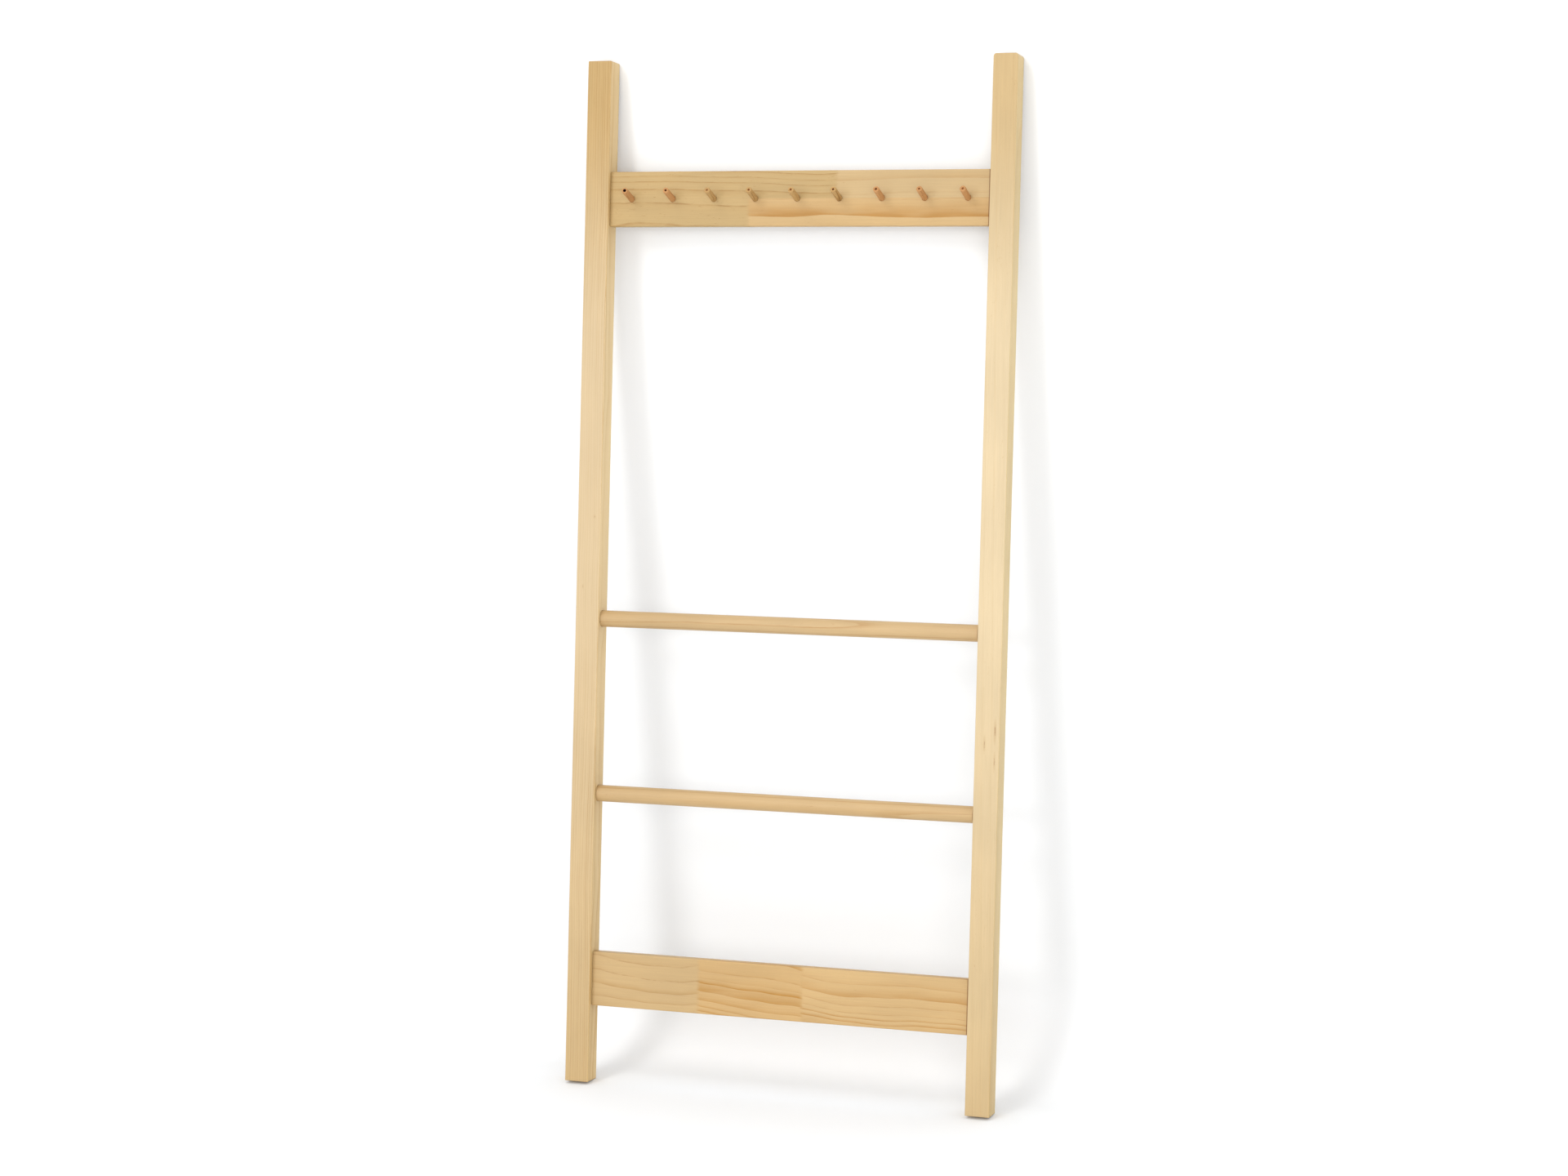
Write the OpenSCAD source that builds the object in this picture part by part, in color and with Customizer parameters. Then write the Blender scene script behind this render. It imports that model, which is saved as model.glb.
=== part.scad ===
// Leaning quilt rack in plain pine: two square posts lean back against a wall,
// with a board of nine slanted pegs at the top, two round rungs and a bottom board.
// Millimetres, +Z up, the front faces -Y, the posts lean back towards +Y.
// The origin is the middle of the bounding box's base, on the floor.
// A piece is drawn in the rack's own frame: X across, Y behind the posts' front
// faces, Z up along the posts. Then on_rack() leans it back.

/* [Rack] */
// Width over the outer faces of the two posts
rack_width = 688; // [450:1:900]
// Angle that the posts lean back from upright
lean_angle = 7.17; // [3:0.01:15]

/* [Posts] */
// Length of each post
post_length = 1600; // [1200:5:2000]
// Width and depth of a post's square section
post_size = 38; // [28:1:60]
// Radius that eases the long edges and the ends of the posts
post_edge = 1.2; // [0.5:0.1:5]

/* [Boards] */
// Height of the peg board
peg_board_height = 85; // [50:1:140]
// Height of the bottom board
bottom_board_height = 85; // [50:1:140]
// Thickness of both boards
board_thickness = 18; // [12:0.5:28]
// Distance from the foot end of a post up to the peg board's lower edge
peg_board_low = 1343.5; // [1000:0.5:1800]
// Distance from the foot end of a post up to the bottom board's lower edge
bottom_board_low = 120.5; // [40:0.5:300]
// Radius that eases the long edges of the boards
board_edge = 1.5; // [0.5:0.1:4]

/* [Rungs] */
// Diameter of the two round rungs
rung_diameter = 26; // [18:0.5:35]
// Distance from the foot end of a post up to the upper rung's axis
upper_rung_height = 730; // [500:1:1200]
// Distance from the foot end of a post up to the lower rung's axis
lower_rung_height = 455; // [250:1:600]
// Depth of the blind bore in a post that a rung's end is glued into
rung_socket_depth = 15; // [8:0.5:25]

/* [Pegs] */
// Diameter of the part of a peg that stands out
peg_diameter = 9.5; // [6:0.5:14]
// Length of a peg along its axis, from the board's face to the tip
peg_length = 34.5; // [20:0.5:80]
// Angle that the pegs slant up from square to the board
peg_slant = 17; // [0:0.5:35]
// Distance between the axes of neighbouring pegs
peg_pitch = 67.5; // [40:0.5:100]
// Diameter of a peg's glued tenon and of its bore in the board
peg_tenon_diameter = 9.4; // [5:0.05:13]
// Depth of a peg's bore along its axis
peg_tenon_length = 14; // [8:0.5:17]
// Distance along the peg from the board's face to the shank's full diameter
peg_shank_start = 2.4; // [2:0.1:5]
// Length of the slight taper between the tenon and the shank
peg_taper = 0.8; // [0.4:0.1:1.5]
// Radius that rounds the rim of a peg's tip
peg_tip_round = 1.4; // [0.4:0.1:3]

/* [Joints] */
// Diameter of the hidden dowels that join the boards to the posts
dowel_diameter = 8; // [6:0.5:10]
// Depth of a dowel's bore in the post and in the board's end
dowel_depth = 20; // [12:1:30]
// Distance between the two dowels at one end of a board
dowel_spacing = 45; // [25:1:80]

/* [Hidden] */
$fn = 64;
// Diameter and depth of the pith hole in each peg's tip, from the left to the right
tip_hole_diameters = [5.0, 3.6, 3.0, 3.4, 3.6, 3.4, 3.8, 3.4, 3.4];
tip_hole_depths = [10, 4, 1.2, 1.6, 1.6, 3, 2.4, 1.4, 1.4];
cut_margin = 1;
inner_half = rack_width / 2 - post_size;
post_middle = rack_width / 2 - post_size / 2;
board_front = (post_size - board_thickness) / 2;
section_middle = post_size / 2;
peg_height = peg_board_low + peg_board_height / 2;
lean_sin = sin(lean_angle);
lean_cos = cos(lean_angle);
// The lowest point is on the eased rear edge of a post's foot end
foot_lift = post_edge + (post_size - post_edge) * lean_sin - post_edge * lean_cos;
// The frontmost point is at the foot, and the rearmost point is at the top
front_reach = post_edge * (lean_sin + lean_cos - 1);
rear_reach = (post_length - post_edge) * lean_sin + (post_size - post_edge) * lean_cos + post_edge;
depth_shift = -(front_reach + rear_reach) / 2;
pine = [0.87, 0.72, 0.50];
board_pine = [0.85, 0.69, 0.47];
rung_pine = [0.86, 0.70, 0.48];
peg_brown = [0.74, 0.52, 0.35];
dowel_beech = [0.80, 0.64, 0.46];

// Leans a piece of the rack back and stands it on the floor
module on_rack() {
    translate([0, depth_shift, foot_lift])
        rotate([-lean_angle, 0, 0])
            children();
}

// A rectangle with round corners, from the origin to [width, height]
module eased_rectangle(width, height, radius) {
    translate([radius, 0])
        square([width - 2 * radius, height]);
    translate([0, radius])
        square([width, height - 2 * radius]);
    for (x = [radius, width - radius], y = [radius, height - radius])
        translate([x, y])
            circle(r = radius);
}

// A cylinder along X that starts at the given point
module bore_x(start, length, diameter) {
    translate(start)
        rotate([0, 90, 0])
            cylinder(h = length, d = diameter);
}

// A post's stock with its foot end at the origin, and its edges and ends eased
module post_stock() {
    intersection() {
        linear_extrude(height = post_length)
            eased_rectangle(post_size, post_size, post_edge);
        translate([0, post_size, 0])
            rotate([90, 0, 0])
                linear_extrude(height = post_size)
                    eased_rectangle(post_size, post_length, post_edge);
        rotate([90, 0, 90])
            linear_extrude(height = post_size)
                eased_rectangle(post_size, post_length, post_edge);
    }
}

// The blind bores in a post's inner face for both rungs and for the boards' dowels.
// They are drawn for the right post, whose inner face looks towards -X.
module post_bores() {
    for (height = [upper_rung_height, lower_rung_height])
        bore_x([inner_half - cut_margin, section_middle, height],
            rung_socket_depth + cut_margin, rung_diameter);
    for (middle = [peg_height, bottom_board_low + bottom_board_height / 2], side = [-1, 1])
        bore_x([inner_half - cut_margin, section_middle, middle + side * dowel_spacing / 2],
            dowel_depth + cut_margin, dowel_diameter);
}

module right_post() {
    color(pine)
        on_rack()
            difference() {
                translate([inner_half, 0, 0])
                    post_stock();
                post_bores();
            }
}

module left_post() {
    color(pine)
        on_rack()
            difference() {
                translate([-rack_width / 2, 0, 0])
                    post_stock();
                mirror([1, 0, 0])
                    post_bores();
            }
}

// A board between the posts with eased long edges and two dowel bores in each end
module board(low, height) {
    difference() {
        translate([-inner_half, board_front, low])
            rotate([90, 0, 90])
                linear_extrude(height = 2 * inner_half)
                    eased_rectangle(board_thickness, height, board_edge);
        for (side = [-1, 1]) {
            bore_x([-inner_half - cut_margin, section_middle,
                low + height / 2 + side * dowel_spacing / 2],
                dowel_depth + cut_margin, dowel_diameter);
            bore_x([inner_half - dowel_depth, section_middle,
                low + height / 2 + side * dowel_spacing / 2],
                dowel_depth + cut_margin, dowel_diameter);
        }
    }
}

// Puts a piece drawn along +Z on a peg's axis, with its origin at the board's face
module at_peg(number) {
    translate([(number - 5) * peg_pitch, board_front, peg_height])
        rotate([90 - peg_slant, 0, 0])
            children();
}

module peg_board() {
    color(board_pine)
        on_rack()
            difference() {
                board(peg_board_low, peg_board_height);
                for (number = [1 : 9])
                    at_peg(number)
                        translate([0, 0, -peg_tenon_length])
                            cylinder(h = peg_tenon_length + 5, d = peg_tenon_diameter);
            }
}

module bottom_board() {
    color(board_pine)
        on_rack()
            board(bottom_board_low, bottom_board_height);
}

// A rung with both of its ends in the posts' blind bores
module rung(height) {
    on_rack()
        bore_x([-inner_half - rung_socket_depth, section_middle, height],
            2 * (inner_half + rung_socket_depth), rung_diameter);
}

module upper_rung() {
    color(rung_pine)
        rung(upper_rung_height);
}

module lower_rung() {
    color(rung_pine)
        rung(lower_rung_height);
}

// A peg along +Z: a tenon, a short taper, a shank with a rounded tip and a pith hole
module peg(number) {
    shank_radius = peg_diameter / 2;
    hole_depth = tip_hole_depths[number - 1];
    on_rack()
        at_peg(number)
            difference() {
                union() {
                    translate([0, 0, -peg_tenon_length])
                        cylinder(h = peg_tenon_length + peg_shank_start - peg_taper,
                            d = peg_tenon_diameter);
                    translate([0, 0, peg_shank_start - peg_taper])
                        cylinder(h = peg_taper, d1 = peg_tenon_diameter, d2 = peg_diameter);
                    rotate_extrude() {
                        translate([0, peg_shank_start])
                            square([shank_radius, peg_length - peg_tip_round - peg_shank_start]);
                        translate([0, peg_shank_start])
                            square([shank_radius - peg_tip_round, peg_length - peg_shank_start]);
                        translate([shank_radius - peg_tip_round, peg_length - peg_tip_round])
                            circle(r = peg_tip_round);
                    }
                }
                translate([0, 0, peg_length - hole_depth])
                    cylinder(h = hole_depth + cut_margin, d = tip_hole_diameters[number - 1]);
            }
}

module peg_1() {
    color(peg_brown)
        peg(1);
}

module peg_2() {
    color(peg_brown)
        peg(2);
}

module peg_3() {
    color(peg_brown)
        peg(3);
}

module peg_4() {
    color(peg_brown)
        peg(4);
}

module peg_5() {
    color(peg_brown)
        peg(5);
}

module peg_6() {
    color(peg_brown)
        peg(6);
}

module peg_7() {
    color(peg_brown)
        peg(7);
}

module peg_8() {
    color(peg_brown)
        peg(8);
}

module peg_9() {
    color(peg_brown)
        peg(9);
}

// A hidden dowel at one end of a board: end is -1 for the left post and 1 for the
// right post, and side is -1 for the lower dowel and 1 for the upper dowel
module joint_dowel(middle, end, side) {
    color(dowel_beech)
        on_rack()
            bore_x([end * inner_half - dowel_depth, section_middle,
                middle + side * dowel_spacing / 2],
                2 * dowel_depth, dowel_diameter);
}

module peg_board_dowel_1() {
    joint_dowel(peg_height, -1, -1);
}

module peg_board_dowel_2() {
    joint_dowel(peg_height, -1, 1);
}

module peg_board_dowel_3() {
    joint_dowel(peg_height, 1, -1);
}

module peg_board_dowel_4() {
    joint_dowel(peg_height, 1, 1);
}

module bottom_board_dowel_1() {
    joint_dowel(bottom_board_low + bottom_board_height / 2, -1, -1);
}

module bottom_board_dowel_2() {
    joint_dowel(bottom_board_low + bottom_board_height / 2, -1, 1);
}

module bottom_board_dowel_3() {
    joint_dowel(bottom_board_low + bottom_board_height / 2, 1, -1);
}

module bottom_board_dowel_4() {
    joint_dowel(bottom_board_low + bottom_board_height / 2, 1, 1);
}

left_post();
right_post();
peg_board();
bottom_board();
upper_rung();
lower_rung();
peg_1();
peg_2();
peg_3();
peg_4();
peg_5();
peg_6();
peg_7();
peg_8();
peg_9();
peg_board_dowel_1();
peg_board_dowel_2();
peg_board_dowel_3();
peg_board_dowel_4();
bottom_board_dowel_1();
bottom_board_dowel_2();
bottom_board_dowel_3();
bottom_board_dowel_4();
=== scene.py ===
import math

import bmesh
import bpy
from mathutils import Matrix, Vector, noise


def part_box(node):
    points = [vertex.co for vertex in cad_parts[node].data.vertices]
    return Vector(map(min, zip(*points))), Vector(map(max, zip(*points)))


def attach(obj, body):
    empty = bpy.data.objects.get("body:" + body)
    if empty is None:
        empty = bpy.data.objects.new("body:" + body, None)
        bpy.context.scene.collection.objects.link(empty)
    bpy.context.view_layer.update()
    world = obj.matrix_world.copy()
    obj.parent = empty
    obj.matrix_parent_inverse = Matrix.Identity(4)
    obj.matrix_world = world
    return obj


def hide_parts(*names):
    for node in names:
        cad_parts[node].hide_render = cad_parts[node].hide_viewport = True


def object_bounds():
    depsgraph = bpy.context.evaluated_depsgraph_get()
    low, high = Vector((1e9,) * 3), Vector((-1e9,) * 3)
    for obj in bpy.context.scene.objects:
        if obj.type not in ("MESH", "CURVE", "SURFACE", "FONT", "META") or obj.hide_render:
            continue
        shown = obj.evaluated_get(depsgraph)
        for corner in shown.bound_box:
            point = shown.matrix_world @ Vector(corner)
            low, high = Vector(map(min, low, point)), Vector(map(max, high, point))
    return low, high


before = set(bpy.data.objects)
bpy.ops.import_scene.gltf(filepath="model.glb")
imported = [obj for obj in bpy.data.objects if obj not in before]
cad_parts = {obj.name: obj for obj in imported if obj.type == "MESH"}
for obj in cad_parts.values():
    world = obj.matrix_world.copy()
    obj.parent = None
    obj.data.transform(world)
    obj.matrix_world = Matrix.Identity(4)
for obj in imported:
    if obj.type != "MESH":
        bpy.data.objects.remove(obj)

cad_low, cad_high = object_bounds()
MM = 0.001


# ---------------------------------------------------------------- the rack's own frame
# X runs across, Y behind the posts' front faces and Z up along the posts.
LEAN = math.radians(7.17)
POST_EDGE = 1.2 * MM  # radius of the posts' eased edges
post_low, post_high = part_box("left_post")
POST_SIZE = post_high[0] - post_low[0]  # the posts are square
# the feet's eased rear lower edge touches the floor, and their eased front lower edge is the rack's front
lift = POST_EDGE + (POST_SIZE - POST_EDGE) * math.sin(LEAN) - POST_EDGE * math.cos(LEAN)
front = POST_EDGE * (math.sin(LEAN) + math.cos(LEAN) - 1)
RACK = Matrix.Translation((0, cad_low[1] - front, lift)) @ Matrix.Rotation(-LEAN, 4, "X")
RACK_BACK = RACK.inverted()


def rack_box(node):
    """A CAD node's lowest and highest corners in the rack's own frame."""
    points = [RACK_BACK @ v.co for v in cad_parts[node].data.vertices]
    low = Vector([min(p[i] for p in points) for i in range(3)])
    high = Vector([max(p[i] for p in points) for i in range(3)])
    return low, high


# ---------------------------------------------------------------- meshes
SHARP = 35  # degrees between two faces from which their shared edge stays sharp


def soften(mesh, sharp=SHARP):
    """Smooth shading, apart from the sharp edges."""
    for polygon in mesh.polygons:
        polygon.use_smooth = True
    mesh.set_sharp_from_angle(angle=math.radians(sharp))


def new_object(name, bm, materials, placement, sharp=SHARP):
    """Makes an object from a bmesh, in the rack's frame, with soft normals on its eased edges."""
    bmesh.ops.recalc_face_normals(bm, faces=bm.faces)
    mesh = bpy.data.meshes.new(name)
    bm.to_mesh(mesh)
    bm.free()
    soften(mesh, sharp)
    for material in materials:
        mesh.materials.append(material)
    piece = bpy.data.objects.new(name, mesh)
    bpy.context.scene.collection.objects.link(piece)
    piece.matrix_world = RACK @ placement
    return piece


def finish_piece(piece, node):
    """Evens the piece's normals and lets it stand for its CAD node."""
    normals = piece.modifiers.new("even_normals", "WEIGHTED_NORMAL")
    normals.keep_sharp = True
    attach(piece, "root")
    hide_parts(node)


def circle(x, radius, count):
    """Points of a circle in the YZ plane."""
    turns = (math.tau * k / count for k in range(count))
    return [Vector((x, radius * math.cos(t), radius * math.sin(t))) for t in turns]


def sweep(bm, rings, bridged=False):
    """Joins rings of points with quads.

    Both ends are closed with one face each or, if bridged, with a row of quads from one side to the other.
    """
    made = [[bm.verts.new(p) for p in ring] for ring in rings]
    count = len(made[0])
    for a, b in zip(made, made[1:]):
        for i in range(count):
            j = (i + 1) % count
            bm.faces.new((a[i], a[j], b[j], b[i]))
    for ring in (made[0], made[-1]):
        if bridged:
            for i in range(count // 2 - 1):
                bm.faces.new((ring[i], ring[i + 1], ring[count - 2 - i], ring[count - 1 - i]))
        else:
            bm.faces.new(ring)


EASE_STEPS = 6  # how many flat steps make up a round corner or an eased end
RADIUS_WANDER = 0.12  # share by which the radius of a long edge changes
SANDED_REACH = 30 * MM  # how far along the bar the sanding of its end fades out
SANDED_POINTS = (0.98, 0.94, 0.89, 0.84, 0.79)  # where a sanded bar has more points on its flat sides


def eased_section(half_y, half_z, radius, flats):
    """Points round a rectangle with round corners, in the YZ plane: down its +Y side and up its -Y side.

    flats places more points on those two sides, at these shares of the way from the middle to a corner.
    """
    turns = [math.pi / 2 * i / EASE_STEPS for i in range(EASE_STEPS + 1)]
    middle_y, middle_z = half_y - radius, half_z - radius
    upper = [(middle_y + radius * math.sin(t), middle_z + radius * math.cos(t)) for t in turns]
    upper += [(half_y, share * middle_z) for share in flats]
    down = upper + [(y, -z) for y, z in reversed(upper)]
    return down + [(-y, z) for y, z in reversed(down)]


def eased_bar(length, half_y, half_z, radius, end_radius, seed, step=0.02, sanded=0.0):
    """A planed bar along X: its long edges are eased by hand, so their radius changes a little.

    sanded is the radius of its high end's two corners in the XZ plane, where they were held to the sander.
    """
    low_end = []
    for i in range(EASE_STEPS + 1):
        turn = math.radians(90 * i / EASE_STEPS)
        inset = end_radius * (1 - math.cos(turn))
        low_end.append((-length / 2 + end_radius * (1 - math.sin(turn)), inset))
    low_end.sort()
    high_end = [(-x, inset) for x, inset in reversed(low_end)]
    straight = length - 2 * end_radius
    count = int(straight / step)
    middle = [(-length / 2 + end_radius + straight * i / count, 0) for i in range(1, count)]
    flats = SANDED_POINTS if sanded else ()
    rings = []
    for x, inset in low_end + middle + high_end:
        change = 1 + RADIUS_WANDER * noise.noise(Vector((x * 9, seed * 7.3, 1.7)))
        corner = max(radius * change - inset * 0.5, radius * 0.3)
        near = max(1 - (length / 2 - x) / SANDED_REACH, 0)
        ring = []
        for y, z in eased_section(half_y - inset, half_z - inset, corner, flats):
            # near a sanded end the points at the sides sit lower than the ones in the middle
            out = min(max(abs(z) - half_z + sanded, 0) / sanded, 0.99) if sanded else 0
            ring.append(Vector((x - sanded * (1 - math.sqrt(1 - out * out)) * near, y, z)))
        rings.append(ring)
    bm = bmesh.new()
    sweep(bm, rings, bridged=True)
    return bm


def cut(piece, drills):
    """Drills round holes into the piece: a radius, a start and an end for each, in the piece's own frame."""
    bm = bmesh.new()
    for radius, start, end in drills:
        axis = end - start
        turn = axis.to_track_quat("Z", "Y").to_matrix().to_4x4()
        place = Matrix.Translation((start + end) / 2) @ turn
        bmesh.ops.create_cone(bm, cap_ends=True, segments=64, radius1=radius, radius2=radius,
                              depth=axis.length, matrix=place)
    mesh = bpy.data.meshes.new("drill")
    bm.to_mesh(mesh)
    bm.free()
    drill = bpy.data.objects.new("drill", mesh)
    bpy.context.scene.collection.objects.link(drill)
    drill.matrix_world = piece.matrix_world
    bpy.context.view_layer.update()
    modifier = piece.modifiers.new("bores", "BOOLEAN")
    modifier.object = drill
    modifier.operation = "DIFFERENCE"
    modifier.solver = "EXACT"
    shaped = bpy.data.meshes.new_from_object(piece.evaluated_get(bpy.context.evaluated_depsgraph_get()))
    piece.modifiers.clear()
    old = piece.data
    shaped.name = old.name + "_bored"
    piece.data = shaped
    soften(shaped)
    bpy.data.objects.remove(drill)
    bpy.data.meshes.remove(mesh)
    bpy.data.meshes.remove(old)


# ---------------------------------------------------------------- materials
class Graph:
    """Short names for the nodes that the materials are made of."""

    def __init__(self, tree):
        self.tree = tree

    def node(self, kind, **settings):
        made = self.tree.nodes.new(kind)
        for key, value in settings.items():
            setattr(made, key, value)
        return made

    def feed(self, socket, value):
        """Links a socket to another one, or gives it a number, a vector or a colour."""
        if isinstance(value, bpy.types.NodeSocket):
            self.tree.links.new(value, socket)
        elif value is not None:
            socket.default_value = value + (1,) if socket.type == "RGBA" else value

    def math(self, operation, a, b=None, c=None, clamp=False):
        made = self.node("ShaderNodeMath", operation=operation, use_clamp=clamp)
        for socket, value in zip(made.inputs, (a, b, c)):
            self.feed(socket, value)
        return made.outputs[0]

    def times(self, a, b, clamp=False):
        return self.math("MULTIPLY", a, b, clamp=clamp)

    def times_plus(self, a, b, c):
        return self.math("MULTIPLY_ADD", a, b, c)

    def plus(self, a, b):
        return self.math("ADD", a, b)

    def minus(self, a, b):
        return self.math("SUBTRACT", a, b)

    def size(self, a):
        return self.math("ABSOLUTE", a)

    def vector(self, operation, a, b=None):
        made = self.node("ShaderNodeVectorMath", operation=operation)
        self.feed(made.inputs[0], a)
        self.feed(made.inputs[1], b)
        return made.outputs[0]

    def scale(self, value, factor):
        scaled = self.vector("SCALE", value)
        self.feed(scaled.node.inputs["Scale"], factor)
        return scaled

    def split(self, value):
        made = self.node("ShaderNodeSeparateXYZ")
        self.feed(made.inputs[0], value)
        return made.outputs[0], made.outputs[1], made.outputs[2]

    def join(self, x, y, z):
        made = self.node("ShaderNodeCombineXYZ")
        for socket, value in zip(made.inputs, (x, y, z)):
            self.feed(socket, value)
        return made.outputs[0]

    def noise(self, place, detail=2.0, rough=0.5, scale=1.0):
        made = self.node("ShaderNodeTexNoise")
        self.feed(made.inputs["Vector"], place)
        made.inputs["Scale"].default_value = scale
        made.inputs["Detail"].default_value = detail
        made.inputs["Roughness"].default_value = rough
        return made.outputs["Fac"]

    def span(self, value, low, high, to_low=0.0, to_high=1.0, smooth=True):
        """Goes from to_low to to_high while the value goes from low to high."""
        made = self.node("ShaderNodeMapRange", interpolation_type="SMOOTHSTEP" if smooth else "LINEAR")
        for socket, given in zip(made.inputs, (value, low, high, to_low, to_high)):
            self.feed(socket, given)
        return made.outputs[0]

    def mix(self, share, a, b, kind="MIX"):
        made = self.node("ShaderNodeMix", data_type="RGBA", blend_type=kind)
        self.feed(made.inputs["Factor"], share)
        for name, value in (("A", a), ("B", b)):
            self.feed([s for s in made.inputs if s.name == name and s.type == "RGBA"][0], value)
        return [s for s in made.outputs if s.type == "RGBA"][0]


def new_material(name):
    material = bpy.data.materials.new(name)
    material.use_nodes = True
    material.node_tree.nodes.clear()
    return material, Graph(material.node_tree)


LIGHT = 1.50  # how much brighter the studio makes a surface than its base colour
GLOSS = 0.035  # what the gloss adds to a surface's brightness
DARKEST = 0.004


def seen(red, green, blue):
    """The base colour that looks like this colour, from 0 to 255, in the studio's light."""
    linear = [((c / 255 + 0.055) / 1.055) ** 2.4 for c in (red, green, blue)]
    return tuple(max((c - GLOSS) / LIGHT, DARKEST) for c in linear)


SETTINGS = ("Pith Y", "Pith Z", "Slope", "Ring", "Wave", "Ripple", "Seed", "Contrast", "Lines", "Pores",
            "Width", "Tighten")


def timber_group():
    """Timber in three dimensions: growth rings round a pith that runs roughly along X, in millimetres."""
    tree = bpy.data.node_groups.new("Timber", "ShaderNodeTree")
    face = tree.interface
    face.new_socket("Place", in_out="INPUT", socket_type="NodeSocketVector")
    for name in SETTINGS:
        face.new_socket(name, in_out="INPUT", socket_type="NodeSocketFloat")
    for name in ("Early", "Late", "Line"):
        face.new_socket(name, in_out="INPUT", socket_type="NodeSocketColor")
    face.new_socket("Color", in_out="OUTPUT", socket_type="NodeSocketColor")
    face.new_socket("Height", in_out="OUTPUT", socket_type="NodeSocketFloat")
    face.new_socket("Fibre", in_out="OUTPUT", socket_type="NodeSocketFloat")
    g = Graph(tree)
    given = g.node("NodeGroupInput").outputs
    x, y, z = g.split(given["Place"])
    seed = given["Seed"]

    def place(long, wide, shift=0.0):
        """The point, scaled so that a pattern is about this long along the grain and this wide across it."""
        offset = g.times_plus(seed, 17.31, shift)
        return g.join(g.times_plus(x, 1 / long, offset),
                      g.times_plus(y, 1 / wide, offset),
                      g.times_plus(z, 1 / wide, seed))

    # distance from the pith, with the slow bends and the ripples of a real log
    slow = g.minus(g.noise(place(260, 140), 1.0), 0.5)
    quick = g.minus(g.noise(place(100, 120, 3.1), 1.0), 0.5)
    jitter = g.minus(g.noise(place(14, 5, 8.4), 2.0), 0.5)
    ripple = g.times_plus(quick, given["Ripple"], g.times(jitter, 0.45))
    bend = g.times_plus(slow, given["Wave"], ripple)
    dy = g.minus(y, given["Pith Y"])
    dz = g.minus(g.minus(z, given["Pith Z"]), g.times(given["Slope"], x))
    far = g.math("SQRT", g.plus(g.times(dy, dy), g.times(dz, dz)))
    far = g.plus(far, bend)
    # the years get thinner with the distance from the pith, and differ from one to the next
    rings = g.times(g.math("DIVIDE", far, given["Ring"]), g.times_plus(given["Tighten"], far, 1.0))
    years = g.noise(g.join(g.times(rings, 0.37), seed, 4.2), 1.0)
    rings = g.times_plus(g.minus(years, 0.5), 1.9, rings)
    part = g.math("FRACT", rings)
    year = g.math("FLOOR", rings)
    chance = g.node("ShaderNodeTexWhiteNoise", noise_dimensions="2D")
    g.feed(chance.inputs["Vector"], g.join(year, seed, 0.0))
    first, second, third = g.split(chance.outputs["Color"])
    # each year's darkening late wood has its own width and strength, and stops sharply
    width = g.times(given["Width"], g.times_plus(second, 1.2, 0.4))
    past = g.math("MAXIMUM", g.minus(part, g.minus(0.965, width)), 0.0)
    darkening = g.math("POWER", g.math("DIVIDE", past, width, clamp=True), 1.7)
    stop = g.span(part, 0.955, 0.998, 1.0, 0.0)
    fade = g.span(g.noise(place(105, 18, 7.7), 2.0), 0.30, 0.70, 0.45, 1.0)
    strength = g.times_plus(g.math("POWER", first, 1.6), 0.85, 0.15)
    band = g.times(g.times(darkening, stop), g.times(strength, fade))
    late = g.times(band, given["Contrast"], clamp=True)
    color = g.mix(late, given["Early"], given["Late"])
    # a thin broken line where the year ends
    edge = g.times(g.span(part, 0.82, 0.955), stop)
    dashes = g.span(g.noise(place(26, 4, 11.2), 3.0, 0.6), 0.38, 0.62, 0.08, 1.0)
    dashes = g.times(edge, g.times(dashes, given["Lines"]))
    thin = g.times(g.times_plus(third, 0.8, 0.2), dashes, clamp=True)
    color = g.mix(thin, color, given["Line"])

    # slow changes of tone, then fibres and streaks, then short resin canals
    tone = g.span(g.noise(place(170, 60, 21.0), 2.0), 0.25, 0.75, 0.95, 1.04)
    fibre = g.noise(place(34, 0.55, 1.3), 4.0, 0.62)
    fine = g.noise(place(9, 0.16, 5.9), 2.0, 0.6)
    streak = g.noise(place(120, 2.4, 9.4), 3.0, 0.55)
    value = g.times(tone, g.span(fibre, 0.25, 0.75, 0.972, 1.024))
    value = g.times(value, g.span(fine, 0.25, 0.75, 0.985, 1.012))
    value = g.times(value, g.span(streak, 0.28, 0.72, 0.97, 1.022))
    canal = g.span(g.noise(place(6.5, 0.7, 13.0), 1.0, 0.4), 0.70, 0.78)
    where = g.span(g.noise(place(60, 9, 31.0), 1.0), 0.46, 0.60)
    canal = g.times(g.times(canal, where), given["Pores"], clamp=True)
    color = g.mix(canal, g.scale(color, value), given["Line"])
    height = g.times_plus(late, 0.35, g.times(fibre, 0.55))
    height = g.minus(g.times_plus(fine, 0.25, height), g.times(canal, 0.6))
    out = g.node("NodeGroupOutput")
    g.feed(out.inputs["Color"], color)
    g.feed(out.inputs["Height"], height)
    g.feed(out.inputs["Fibre"], fibre)
    return tree


TIMBER = timber_group()


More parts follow.
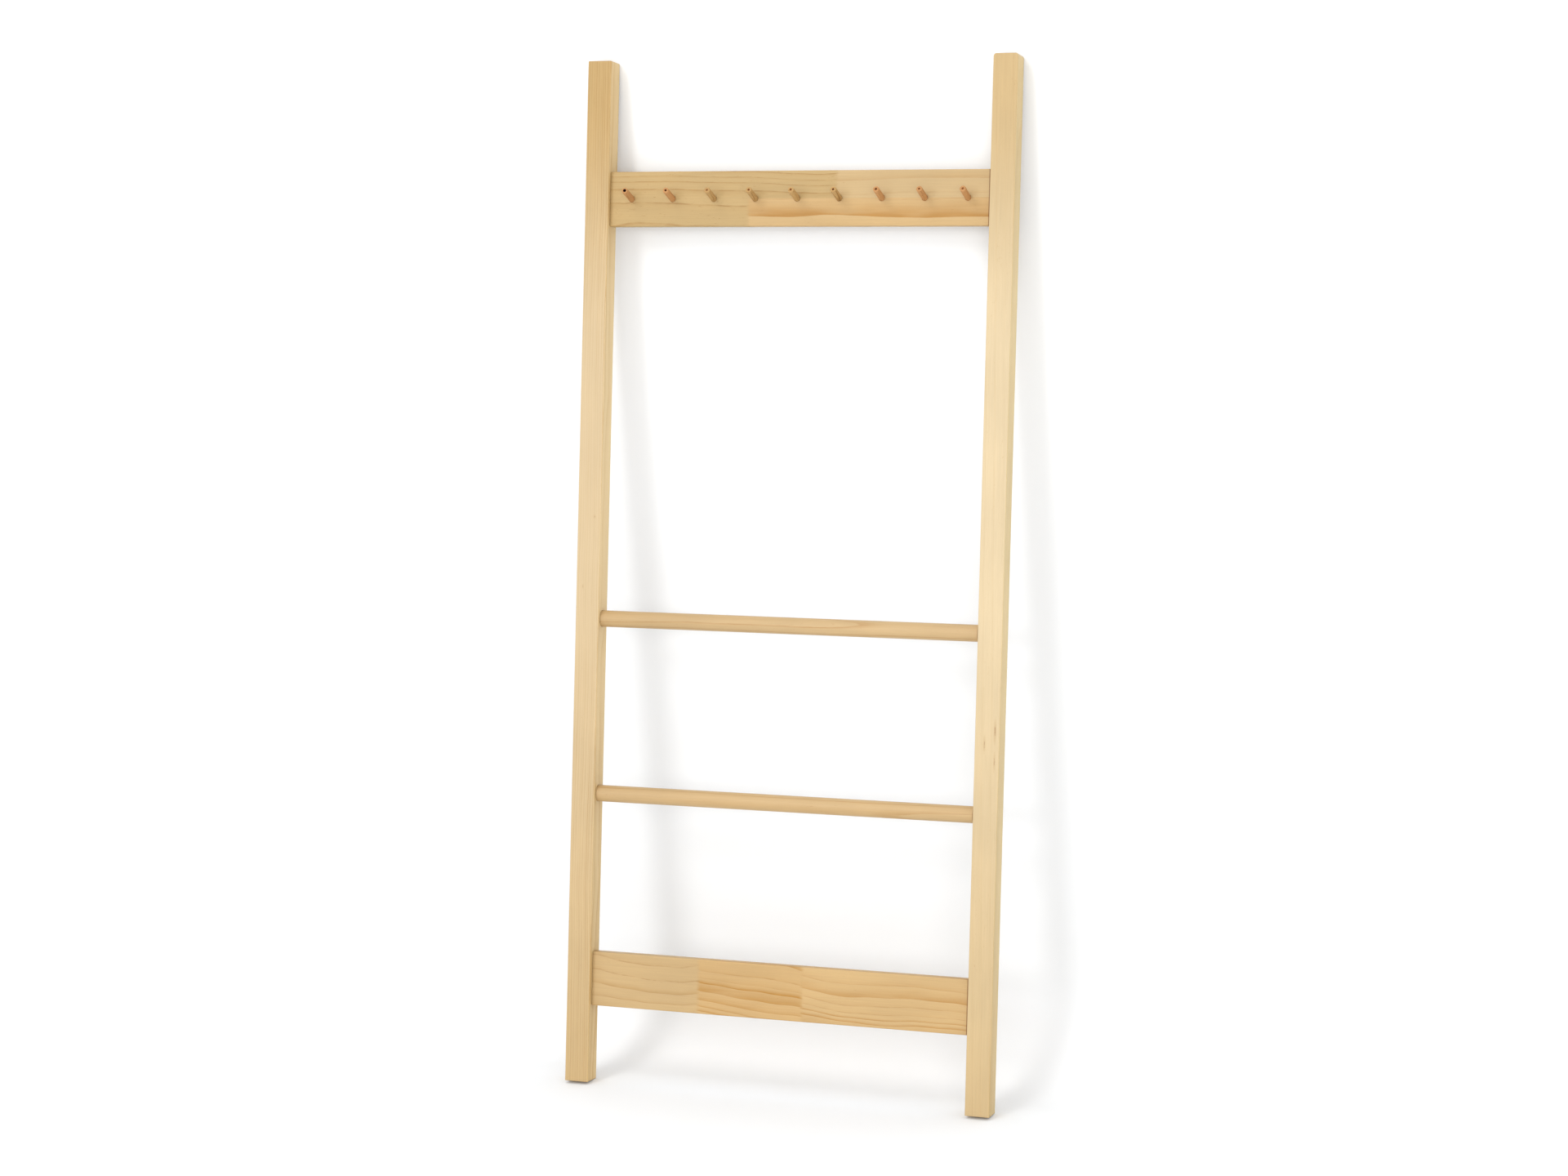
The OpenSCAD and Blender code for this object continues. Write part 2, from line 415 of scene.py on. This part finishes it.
def block(seed, pith, slope, ring, wave, ripple, early, late, line,
          contrast=1.0, lines=0.8, pores=0.5, width=0.5, tighten=0.0):
    """The timber group's settings for one block of wood, in millimetres, with its colours as seen when lit.

    pith is where the log's middle lies in Y and Z, slope how fast it rises along X, and ring a year's width.
    wave and ripple bend the years slowly and quickly. early and late are the colours of the early and late
    wood, and line is the colour of the thin lines and resin canals. contrast, lines and pores are the
    strengths of the late wood, the lines and the canals, width is the late wood's share of a year, and
    tighten makes the years thinner away from the pith.
    """
    numbers = (pith[0], pith[1], slope, ring, wave, ripple, seed, contrast, lines, pores, width, tighten)
    settings = {name: float(number) for name, number in zip(SETTINGS, numbers)}
    settings.update(Early=seen(*early), Late=seen(*late), Line=seen(*line))
    return settings


FINGER = 2.2  # half the width of a joint's fingers, through the thickness
FINGER_STEP = 3.5  # how far a finger's end moves along X for each millimetre through the thickness
RAG = 14.0  # how far a joint's edge wanders along X
GLUE = seen(150, 105, 60)
HALO = seen(205, 160, 105)
KNOT = seen(150, 100, 58)
# tints that multiply the timber's colour
END_GRAIN = (0.86, 0.80, 0.70)
# painted shade: the dark tint of the line beside a post, at a board's or rung's high end
CONTACT_SHADE_TINT = (0.48, 0.38, 0.28)
# eased edges are lighter from wear and from a painted highlight
WEAR_AND_HIGHLIGHT = 1.07  # how much lighter a worn edge is


def joined_blocks(g, where, x, y, z, blocks):
    """Mixes the blocks of a finger-jointed board, and returns their colour, height, fibre and seams."""
    color = height = fibre = seam = None
    for settings, start, side in blocks:
        group = g.node("ShaderNodeGroup", node_tree=TIMBER)
        g.feed(group.inputs["Place"], where)
        for key, value in settings.items():
            g.feed(group.inputs[key], value)
        if color is None:
            color, height, fibre = group.outputs
            continue
        # the fingers of a joint run through the thickness, so the face shows a nearly straight seam
        finger = g.math("PINGPONG", y, FINGER)
        ragged = g.noise(g.join(g.times(z, 0.35), start, 0.0), 3.0, 0.7)
        rag = g.times(g.minus(ragged, 0.5), RAG)
        along = g.minus(g.plus(x, rag), g.times_plus(finger, FINGER_STEP, start - FINGER * FINGER_STEP))
        share = g.span(along, -4.5, 4.5)
        near = g.span(g.size(along), 0.10, 0.42, 1.0, 0.0)
        if side:
            half_share = g.span(g.times(z, float(side)), -0.4, 0.4)
            share = g.times(share, half_share)
            near = g.times(near, half_share)
        color = g.mix(share, color, group.outputs[0])
        height = g.plus(g.times(height, g.minus(1.0, share)), g.times(group.outputs[1], share))
        seam = near if seam is None else g.math("MAXIMUM", seam, near)
    return color, height, fibre, seam


def timber(name, blocks, half, edge, split=None, marks=(), ends=None, painted_side_light=None, calm=None, contact_shade=None,
           rough=0.5, depth=0.00022):
    """A timber material in the piece's own frame, with X along the grain, in millimetres.

    blocks holds one (block, start X, side) for each finger-jointed block, where side is -1 for the lower
    half, 1 for the upper half and 0 for both, and split is the Z of the glue line between the halves. half is
    half of the piece's size along each axis and edge the radius of its eased edges, for the lighter edges,
    which are worn and carry a painted highlight, and the darker end grain. marks are pin knots and short brown
    streaks, and on a peg a line of painted shade along its side, as (X, Y, Z, size, stretch, strength). ends
    is painted shade: the tint that darkens the piece towards its two ends, where less light falls, with its
    share at the low end and at the high end. painted_side_light is the side that faces Z or -Z, with its tint:
    painted light that lightens that side. calm is a stretch of quieter grain, as (X, reach, share), and
    contact_shade the width of the painted shade line beside the joint at the high end. depth is the bump's
    height in metres.
    """
    material, g = new_material(name)
    where = g.scale(g.node("ShaderNodeTexCoord").outputs["Object"], 1 / MM)
    x, y, z = g.split(where)
    color, height, fibre, seam = joined_blocks(g, where, x, y, z, blocks)
    if split is not None:
        glue = g.span(g.size(g.minus(z, split)), 0.08, 0.35, 1.0, 0.0)
        seam = glue if seam is None else g.math("MAXIMUM", seam, glue)
    if seam is not None:
        color = g.mix(g.times(seam, 0.05), color, GLUE)
        height = g.times_plus(seam, -0.4, height)

    # pin knots, short streaks and the pegs' lines of painted shade, each with a soft halo
    swirl = g.times(g.minus(g.noise(g.scale(where, 0.5), 2.0), 0.5), 1.4)
    for mark_x, mark_y, mark_z, size, stretch, strength in marks:
        ax, ay, az = g.split(g.vector("SUBTRACT", where, (mark_x, mark_y, mark_z)))
        ax = g.math("DIVIDE", ax, stretch)
        gone = g.math("SQRT", g.plus(g.times(ax, ax), g.plus(g.times(ay, ay), g.times(az, az))))
        gone = g.plus(gone, swirl)
        color = g.mix(g.span(gone, size * 0.8, size * 3.2, 0.55 * strength, 0.0), color, HALO)
        color = g.mix(g.span(gone, size * 0.5, size * 1.1, 0.75 * strength, 0.0), color, KNOT)
    if calm is not None:
        calm_x, reach, most = calm
        quiet = g.span(g.size(g.minus(x, calm_x)), reach * 0.4, reach, most, 0.0)
        color = g.mix(quiet, color, blocks[0][0]["Early"])

    # painted shade towards the ends, and painted light on one side
    near_side = None
    if painted_side_light is not None:
        facing, side_light_tint = painted_side_light
        near_side = g.span(g.times(z, float(facing)), half[2] - 0.9, half[2] - 0.1)
    # painted shade: the piece darkens towards its two ends, most on its front face
    if ends is not None:
        tint, low_share, high_share = ends
        low_end = g.span(x, -half[0], -half[0] * 0.06, low_share, 0.0, smooth=False)
        high_end = g.span(x, half[0] * 0.44, half[0] * 0.95, 0.0, high_share)
        if painted_side_light is not None:
            high_end = g.times(high_end, g.times_plus(near_side, -0.55, 1.0))
        to_front = g.span(y, -half[1], half[1] * 0.2, 1.0, 0.5)
        drift = g.times(g.math("MAXIMUM", low_end, high_end), to_front)
        color = g.mix(drift, color, g.mix(1.0, color, tint, kind="MULTIPLY"))
    # painted light: one side is lightened by its tint
    if painted_side_light is not None:
        color = g.mix(near_side, color, g.vector("MULTIPLY", color, side_light_tint))
    # painted shade: a dark line beside the post at the high end
    if contact_shade is not None:
        contact_shade_mask = g.span(x, half[0] - contact_shade, half[0] - contact_shade + 0.6)
        color = g.mix(g.times(contact_shade_mask, 0.9), color, g.vector("MULTIPLY", color, CONTACT_SHADE_TINT))

    # lighter long edges, from wear and a painted highlight, and end grain that took more of the finish
    over_y = g.minus(g.size(y), half[1] - edge)
    over_z = g.minus(g.size(z), half[2] - edge)
    corner = g.span(g.math("MINIMUM", over_y, over_z), -0.15 * edge, 0.45 * edge)
    rubbed = g.noise(g.join(g.times(x, 0.045), g.times(y, 0.12), g.times(z, 0.12)), 4.0, 0.65)
    wear_and_highlight = g.times(corner, g.times_plus(g.span(rubbed, 0.36, 0.62), 0.55, 0.12), clamp=True)
    color = g.mix(wear_and_highlight, color, g.scale(color, WEAR_AND_HIGHLIGHT))
    grain_end = g.span(g.size(x), half[0] - 0.9, half[0] - 0.1)
    color = g.mix(grain_end, color, g.vector("MULTIPLY", color, END_GRAIN))

    # small dents from handling
    dents = g.node("ShaderNodeTexVoronoi", feature="F1")
    g.feed(dents.inputs["Vector"], g.vector("MULTIPLY", where, (0.018, 0.045, 0.045)))
    dents.inputs["Scale"].default_value = 1.0
    height = g.times_plus(g.span(dents.outputs["Distance"], 0.03, 0.10, 1.0, 0.0), -0.9, height)

    shader = g.node("ShaderNodeBsdfPrincipled")
    g.feed(shader.inputs["Base Color"], color)
    dull = g.times_plus(wear_and_highlight, -0.05, g.span(fibre, 0.25, 0.75, rough + 0.06, rough - 0.05))
    g.feed(shader.inputs["Roughness"], g.times_plus(grain_end, 0.18, dull))
    shader.inputs["IOR"].default_value = 1.45
    bump = g.node("ShaderNodeBump")
    bump.inputs["Strength"].default_value = 0.55
    bump.inputs["Distance"].default_value = depth
    g.feed(bump.inputs["Height"], height)
    g.feed(shader.inputs["Normal"], bump.outputs["Normal"])
    g.feed(g.node("ShaderNodeOutputMaterial").inputs["Surface"], shader.outputs["BSDF"])
    return material


# ---------------------------------------------------------------- the timbers
BOARD_EDGE = 1.5 * MM  # radius of the boards' long edges
BOARD_END = 0.5 * MM  # radius of the edges round their ends
RUNG_HIDDEN = 3 * MM  # how far a rung runs into each post
ROUND_EDGE = 0.1  # a round piece has no long edges to wear
BEYOND = 20.0  # a half size that a round piece never reaches

left_low, left_high = rack_box("left_post")
post_length = left_high[2] - left_low[2]
post_half = (post_length / 2 / MM, POST_SIZE / 2 / MM, POST_SIZE / 2 / MM)
# the posts darken towards their ends and their +X sides are lightened: painted shade and painted light
left_wood = timber(
    "left_post_pine",
    [(block(1, (30, 130), 0.003, 3.7, 9.0, 3.5, (238, 211, 168), (215, 176, 120), (194, 150, 92),
            contrast=1.5, lines=0.4, pores=0.35, width=0.65), 0, 0)],
    post_half, POST_EDGE / MM,
    marks=[(90, -19, -9, 1.0, 1.6, 0.6), (-20, -19, 8, 0.7, 2.5, 0.5), (-65, -2, -19, 1.2, 1.8, 0.9)],
    ends=((0.81, 0.70, 0.46), 0.66, 1.0), painted_side_light=(-1, (1.26, 1.25, 1.12)), calm=(130, 430, 0.45))
right_wood = timber(
    "right_post_pine",
    [(block(5, (15, 150), 0.02, 12.0, 7.0, 2.0, (245, 221, 179), (236, 206, 158), (215, 172, 116),
            contrast=0.6, lines=0.12, pores=0.45, width=0.8), 0, 0)],
    post_half, POST_EDGE / MM,
    marks=[(-216, -19, -12, 0.9, 9.0, 0.6), (-236, -19, 4, 0.8, 7.0, 0.5), (-262, -19, -12, 0.7, 10.0, 0.5)],
    ends=((0.83, 0.74, 0.57), 0.86, 1.0), painted_side_light=(-1, (1.09, 1.06, 0.875)))

board_low, board_high = rack_box("peg_board")
board_half = tuple((board_high[i] - board_low[i]) / 2 / MM for i in range(3))
peg_board_wood = timber(
    "peg_board_pine",
    [(block(11, (75, -60), 0.0, 9.0, 12.0, 5.0, (218, 185, 129), (205, 165, 103), (176, 131, 76),
            contrast=0.9, lines=0.75, pores=0.8), 0, 0),
     (block(14, (62, 52), -0.004, 15.0, 12.0, 6.0, (231, 194, 138), (207, 155, 86), (180, 126, 60),
            contrast=1.6, lines=0.4, pores=0.3, width=0.9), -71, -1),
     (block(23, (60, 120), 0.02, 17.0, 12.0, 4.0, (226, 194, 143), (212, 171, 112), (194, 148, 90),
            contrast=0.6, lines=0.25, pores=0.4, width=0.6), 70, 1)],
    board_half, BOARD_EDGE / MM, split=0.0, contact_shade=4.0)
bottom_board_wood = timber(
    "bottom_board_pine",
    [(block(31, (60, 92), 0.0, 16.0, 9.0, 24.0, (223, 189, 137), (206, 166, 108), (184, 142, 90),
            contrast=1.15, lines=0.65, pores=0.4), 0, 0),
     (block(37, (58, 78), -0.075, 42.0, 14.0, 14.0, (226, 187, 130), (204, 152, 80), (184, 134, 74),
            contrast=1.5, lines=0.35, pores=0.3, width=1.0, tighten=0.02), -122, 0),
     (block(43, (60, 78), -0.01, 36.0, 14.0, 14.0, (230, 193, 137), (207, 157, 90), (184, 134, 76),
            contrast=1.5, lines=0.35, pores=0.3, width=1.0, tighten=0.013), 47, 0)],
    board_half, BOARD_EDGE / MM, contact_shade=4.0)

rung_low, rung_high = rack_box("upper_rung")
rung_radius = (rung_high[2] - rung_low[2]) / 2
rung_half_length = -left_high[0] + RUNG_HIDDEN
rung_half = (rung_half_length / MM, 2 * BEYOND, 2 * BEYOND)
# painted shade darkens the rungs towards their ends
rung_tint = (0.84, 0.80, 0.73)
upper_rung_wood = timber(
    "upper_rung_pine",
    [(block(51, (22, -16), 0.022, 6.5, 7.0, 3.0, (232, 198, 148), (212, 166, 106), (190, 140, 82),
            contrast=1.15, lines=0.55, pores=0.4, width=0.6), 0, 0)],
    rung_half, ROUND_EDGE, ends=(rung_tint, 1.0, 0.3), contact_shade=5.8)
lower_rung_wood = timber(
    "lower_rung_pine",
    [(block(58, (26, 12), 0.03, 7.5, 7.0, 3.0, (231, 196, 145), (212, 168, 110), (194, 146, 86),
            contrast=1.1, lines=0.5, pores=0.4, width=0.6), 0, 0)],
    rung_half, ROUND_EDGE, ends=(rung_tint, 0.45, 0.0), contact_shade=5.8)

# two kinds of hardwood, and how strongly a line of painted shade darkens each peg's left side
BROWN = ((226, 169, 113), (208, 148, 92), (150, 96, 56))
STRAW = ((221, 179, 119), (202, 153, 92), (136, 94, 52))
PEG_KINDS = (BROWN, BROWN, STRAW, STRAW, STRAW, STRAW, BROWN, BROWN, BROWN)
PEG_SIDE_SHADES = (0.5, 0.35, 0.0, 0.35, 1.0, 0.55, 0.0, 0.0, 0.3)
peg_woods = []
for number, (kind, side_shade) in enumerate(zip(PEG_KINDS, PEG_SIDE_SHADES), start=1):
    peg_woods.append(timber(
        f"peg_{number}_wood",
        [(block(60 + number * 3, (number % 3 - 1, 3.0), 0.02, 2.6, 1.0, 0.5, *kind,
                contrast=0.8, lines=0.7, pores=0.8), 0, 0)],
        (35.0, BEYOND, BEYOND), ROUND_EDGE,
        marks=[(16, -4.4, -1.2, 0.6, 18.0, side_shade)], rough=0.6, depth=0.00015))
# painted shade in the hollow of a peg's tip, nearly black in the first peg and brown in the others
hollow_shade_woods = [
    timber(name, [(block(97, (0.2, 0.1), 0.0, 1.2, 0.2, 0.1, *kind), 0, 0)],
           (60.0, BEYOND, BEYOND), ROUND_EDGE, rough=0.85)
    for name, kind in (("dark_hollow_shade", ((84, 56, 38), (64, 42, 28), (48, 30, 22))),
                       ("brown_hollow_shade", ((176, 116, 74), (150, 94, 58), (120, 76, 46))))]
dowel_wood = timber(
    "dowel_beech",
    [(block(99, (9, 3), 0.0, 1.6, 0.4, 0.2, (222, 184, 140), (206, 162, 116), (176, 128, 84),
            contrast=0.6, lines=0.3, pores=0.8), 0, 0)],
    (BEYOND, BEYOND, BEYOND), ROUND_EDGE, rough=0.65)


# ---------------------------------------------------------------- the posts
TURN_UP = Matrix.Rotation(-math.pi / 2, 4, "Y")
GAP = 0.25 * MM  # a fine dark joint shows where two pieces meet
SANDED_TOP = 4.3 * MM  # the right post's two upper corners are rounder than the left one's
for side, node, wood, sanded in ((-1, "left_post", left_wood, 0), (1, "right_post", right_wood, SANDED_TOP)):
    low, high = rack_box(node)
    centre = (low + high) / 2
    half_size = POST_SIZE / 2
    bm = eased_bar(post_length, half_size, half_size, POST_EDGE, POST_EDGE, side * 3, sanded=sanded)
    post = new_object(node + "_timber", bm, [wood], Matrix.Translation(centre) @ TURN_UP)
    # the rungs' sockets, drilled from outside the inner face to 1 mm past the rung's end
    inner = side * half_size
    outside, inside = inner + side * 2 * MM, inner - side * (RUNG_HIDDEN + MM)
    sockets = []
    for rung in ("upper_rung", "lower_rung"):
        r_low, r_high = rack_box(rung)
        x = (r_low[2] + r_high[2]) / 2 - centre[2]
        sockets.append((rung_radius + GAP, Vector((x, 0, outside)), Vector((x, 0, inside))))
    cut(post, sockets)
    finish_piece(post, node)

# ---------------------------------------------------------------- the boards
PEG_SLANT = math.radians(17)
PEG_AXIS = Vector((0, -math.cos(PEG_SLANT), math.sin(PEG_SLANT)))
PEG_HIDDEN = 4.5 * MM  # how far a peg runs into the board
peg_places = []
for number in range(1, 10):
    low, high = rack_box(f"peg_{number}")
    peg_radius = (high[0] - low[0]) / 2
    peg_places.append(Vector(((low[0] + high[0]) / 2, board_low[1], (board_low[2] + board_high[2]) / 2)))
for node, wood, seed in (("peg_board", peg_board_wood, 4), ("bottom_board", bottom_board_wood, 9)):
    low, high = rack_box(node)
    centre = (low + high) / 2
    size = high - low
    bm = eased_bar(size[0] - 2 * GAP, size[1] / 2, size[2] / 2, BOARD_EDGE, BOARD_END, seed, step=0.03)
    board = new_object(node + "_timber", bm, [wood], Matrix.Translation(centre))
    if node == "peg_board":
        back, ahead = PEG_AXIS * (PEG_HIDDEN + 0.5 * MM), PEG_AXIS * 8 * MM
        cut(board, [(peg_radius + GAP, p - centre - back, p - centre + ahead) for p in peg_places])
    finish_piece(board, node)

# ---------------------------------------------------------------- the rungs
RUNG_STEPS = 90
RUNG_WANDER = 0.06 * MM  # turned by machine and sanded by hand, so the radius changes a little
for node, wood, seed in (("upper_rung", upper_rung_wood, 2.0), ("lower_rung", lower_rung_wood, 6.0)):
    low, high = rack_box(node)
    rings = []
    for i in range(RUNG_STEPS + 1):
        x = -rung_half_length + 2 * rung_half_length * i / RUNG_STEPS
        radius = rung_radius - RUNG_WANDER + RUNG_WANDER * noise.noise(Vector((x * 14, seed, 0.3)))
        rings.append(circle(x, radius, 72))
    bm = bmesh.new()
    sweep(bm, rings)
    rung = new_object(node + "_timber", bm, [wood], Matrix.Translation((low + high) / 2))
    finish_piece(rung, node)

# ---------------------------------------------------------------- the pegs
PEG_LENGTH = 34.5 * MM
PEG_TIP = 1.4 * MM  # radius of the tip's round edge
PEG_SIDES = 48
# the diameter and depth of the hollow in each tip, in millimetres
TIP_HOLES = ((5.0, 10), (3.6, 4), (3.0, 1.2), (3.4, 1.6), (3.6, 1.6),
             (3.4, 3), (3.8, 2.4), (3.4, 1.4), (3.4, 1.4))
ACROSS = Vector((1, 0, 0))
PEG_TURN = Matrix((PEG_AXIS, ACROSS, PEG_AXIS.cross(ACROSS))).transposed().to_4x4()


def peg_profile(radius, hole_radius, hole_depth):
    """The peg's outline from its hidden end, round its tip and into its hollow, as (X, radius)."""
    turns = [math.pi / 2 * k / 6 for k in range(1, 7)]
    tip_x, tip_radius = PEG_LENGTH - PEG_TIP, radius - PEG_TIP
    profile = [(-PEG_HIDDEN, radius - 0.05 * MM)]
    profile += [(i * 3 * MM, radius) for i in range(-1, 11)]
    profile += [(tip_x + PEG_TIP * math.sin(t), tip_radius + PEG_TIP * math.cos(t)) for t in turns]
    profile += [(PEG_LENGTH - 0.05 * MM, hole_radius + 0.12 * MM), (PEG_LENGTH - 0.35 * MM, hole_radius)]
    return profile + [(PEG_LENGTH - hole_depth * 0.6, hole_radius * 0.96),
                      (PEG_LENGTH - hole_depth, hole_radius * 0.7)]


for number, (place, wood, hole) in enumerate(zip(peg_places, peg_woods, TIP_HOLES), start=1):
    hole_radius, hole_depth = hole[0] / 2 * MM, hole[1] * MM
    rings = []
    for x, radius in peg_profile(peg_radius, hole_radius, hole_depth):
        ring = []
        for k in range(PEG_SIDES):
            t = math.tau * k / PEG_SIDES
            spot = Vector((x * 60, math.cos(t) * 1.6 + number * 5, math.sin(t) * 1.6))
            rough_cut = 1 + 0.008 * noise.noise(spot)
            ring.append(Vector((x, radius * rough_cut * math.cos(t), radius * rough_cut * math.sin(t))))
        rings.append(ring)
    bm = bmesh.new()
    sweep(bm, rings)
    # the faces of the hollow take a dark colour, painted shade that deepens the hollow's own shade
    widest, deepest = hole_radius + 0.06 * MM, PEG_LENGTH - hole_depth - MM
    for face in bm.faces:
        inside = all(math.hypot(v.co.y, v.co.z) < widest and v.co.x > deepest for v in face.verts)
        face.material_index = 1 if inside else 0
    # pith here is the hollow's painted shade colour
    pith = hollow_shade_woods[0 if number == 1 else 1]
    placement = Matrix.Translation(place) @ PEG_TURN
    peg = new_object(f"peg_{number}_dowel", bm, [wood, pith], placement, sharp=50)
    finish_piece(peg, f"peg_{number}")

# ---------------------------------------------------------------- the hidden dowels
CHAMFER = 1 * MM
FLUTE = 0.12 * MM  # depth of the fine straight flutes that let the glue out
FLUTES = 16
DOWEL_SIDES = 64
DOWEL_STEPS = 12
for node in sorted(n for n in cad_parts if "_dowel_" in n):
    low, high = rack_box(node)
    size = high - low
    half_length, straight = size[0] / 2, size[0] - 2 * CHAMFER
    stations = [(-half_length, -CHAMFER), (-half_length + CHAMFER, 0)]
    stations += [(-half_length + CHAMFER + straight * i / DOWEL_STEPS, 0) for i in range(1, DOWEL_STEPS + 1)]
    stations += [(half_length, -CHAMFER)]
    rings = []
    for x, change in stations:
        ring = []
        for k in range(DOWEL_SIDES):
            t = math.tau * k / DOWEL_SIDES
            radius = size[2] / 2 + change - FLUTE * (0.5 + 0.5 * math.cos(FLUTES * t))
            ring.append(Vector((x, radius * math.cos(t), radius * math.sin(t))))
        rings.append(ring)
    bm = bmesh.new()
    sweep(bm, rings)
    dowel = new_object(node + "_beech", bm, [dowel_wood], Matrix.Translation((low + high) / 2), sharp=60)
    finish_piece(dowel, node)


# ---------------------------------------------------------------- backdrop, lights and camera
def white_paper():
    """Paper that is seen only from its front.

    Its colour is graded as painted light and shade: it is whitest on the floor in front of the rack,
    greyest low on the wall, and whiter again near the posts' tops.
    """
    material, g = new_material("white_paper")
    place = g.node("ShaderNodeTexCoord").outputs["Object"]
    depth, height = g.split(place)[1:]
    # painted light and shade: the paper is darker low on the wall and lighter near the posts' tops and on the
    # floor in front
    up = g.times(g.span(height, 0.0, 0.25, 0.89, 0.84), g.span(height, 0.7, 1.3, 0.985, 1.06))
    painted_light_grade = g.times(up, g.span(depth, -0.5, -0.1, 1.025, 0.975))
    tone = g.scale(g.join(0.987, 1.0, 1.014), painted_light_grade)
    fleck = g.span(g.noise(place, 2.0, 0.5, 900.0), 0.2, 0.8, 0.994, 1.006)
    paper = g.node("ShaderNodeBsdfDiffuse")
    g.feed(paper.inputs["Color"], g.scale(tone, fleck))
    both = g.node("ShaderNodeMixShader")
    g.feed(both.inputs[0], g.node("ShaderNodeNewGeometry").outputs["Backfacing"])
    g.feed(both.inputs[1], paper.outputs[0])
    g.feed(both.inputs[2], g.node("ShaderNodeBsdfTransparent").outputs[0])
    g.feed(g.node("ShaderNodeOutputMaterial").inputs["Surface"], both.outputs[0])
    return material


def backdrop():
    """A white floor that curves up into the white wall that the rack leans on."""
    wall, curve, reach = cad_high[1] + 0.3 * MM, 0.15, 5.0
    turns = [math.pi / 2 * k / 32 for k in range(33)]
    profile = [(-7.0, 0.0), (-2.0, 0.0)]
    profile += [(wall - curve + curve * math.sin(t), curve - curve * math.cos(t)) for t in turns]
    profile += [(wall, 1.0), (wall, 5.0)]
    bm = bmesh.new()
    left = [bm.verts.new((-reach, y, z)) for y, z in profile]
    right = [bm.verts.new((reach, y, z)) for y, z in profile]
    for i in range(len(profile) - 1):
        bm.faces.new((left[i], right[i], right[i + 1], left[i + 1]))
    mesh = bpy.data.meshes.new("backdrop")
    bm.to_mesh(mesh)
    bm.free()
    for polygon in mesh.polygons:
        polygon.use_smooth = True
    mesh.materials.append(white_paper())
    sheet = bpy.data.objects.new("backdrop", mesh)
    bpy.context.scene.collection.objects.link(sheet)


def new_light(name, kind, energy, ray):
    """Makes a light that shines along ray, and returns the light and its object."""
    lamp = bpy.data.lights.new(name, kind)
    lamp.energy = energy
    holder = bpy.data.objects.new(name, lamp)
    bpy.context.scene.collection.objects.link(holder)
    holder.rotation_euler = ray.to_track_quat("-Z", "Y").to_euler()
    return lamp, holder


def area_light(name, place, target, size, power):
    lamp, holder = new_light(name, "AREA", power, Vector(target) - Vector(place))
    lamp.shape = "DISK"
    lamp.size = size
    holder.location = place


def sun_light(name, energy, spread, aside, height):
    """A broad source far away on the left, aside and height degrees off the line straight at the wall."""
    aside, height = math.radians(aside), math.radians(height)
    level = math.cos(height)
    ray = Vector((math.sin(aside) * level, math.cos(aside) * level, -math.sin(height)))
    lamp = new_light(name, "SUN", energy, ray)[0]
    lamp.angle = math.radians(spread)


backdrop()
sun_light("key", 0.34, 13, 22, 11)
sun_light("high", 0.43, 16, 24, 32)
area_light("fill_right", (2.1, -4.6, 1.4), (0, 0, 0.7), 2.0, 42)
area_light("top", (-1.3, -1.9, 4.2), (0, 0, 0), 1.4, 18)
area_light("low", (-0.5, -4.6, 1.6), (-0.3, 0, 0.1), 2.4, 14)
world = bpy.data.worlds.new("studio")
world.use_nodes = True
world.node_tree.nodes["Background"].inputs["Color"].default_value = (1, 1, 1, 1)
world.node_tree.nodes["Background"].inputs["Strength"].default_value = 0.95
bpy.context.scene.world = world

# the photograph's camera: its place in metres, and how far it is turned left, tipped down and rolled
CAMERA_PLACE = (1.4332, -4.4383, 1.4942)
AZIMUTH, DOWN, ROLL = math.radians(17.994), math.radians(8.655), math.radians(-0.761)
FOCAL_LENGTH, SENSOR = 70.285, 36  # both in millimetres
lens = bpy.data.cameras.new("camera")
lens.sensor_width = SENSOR
lens.lens = FOCAL_LENGTH
camera = bpy.data.objects.new("camera", lens)
bpy.context.scene.collection.objects.link(camera)
ahead = Vector((-math.sin(AZIMUTH) * math.cos(DOWN), math.cos(AZIMUTH) * math.cos(DOWN), -math.sin(DOWN)))
level = Vector((math.cos(AZIMUTH), math.sin(AZIMUTH), 0))
over = level.cross(ahead)
right = level * math.cos(ROLL) + over * math.sin(ROLL)
up = over * math.cos(ROLL) - level * math.sin(ROLL)
camera.matrix_world = Matrix.Translation(CAMERA_PLACE) @ Matrix((right, up, -ahead)).transposed().to_4x4()
bpy.context.scene.camera = camera
bpy.context.scene.view_settings.view_transform = "Standard"
bpy.context.scene.view_settings.look = "None"
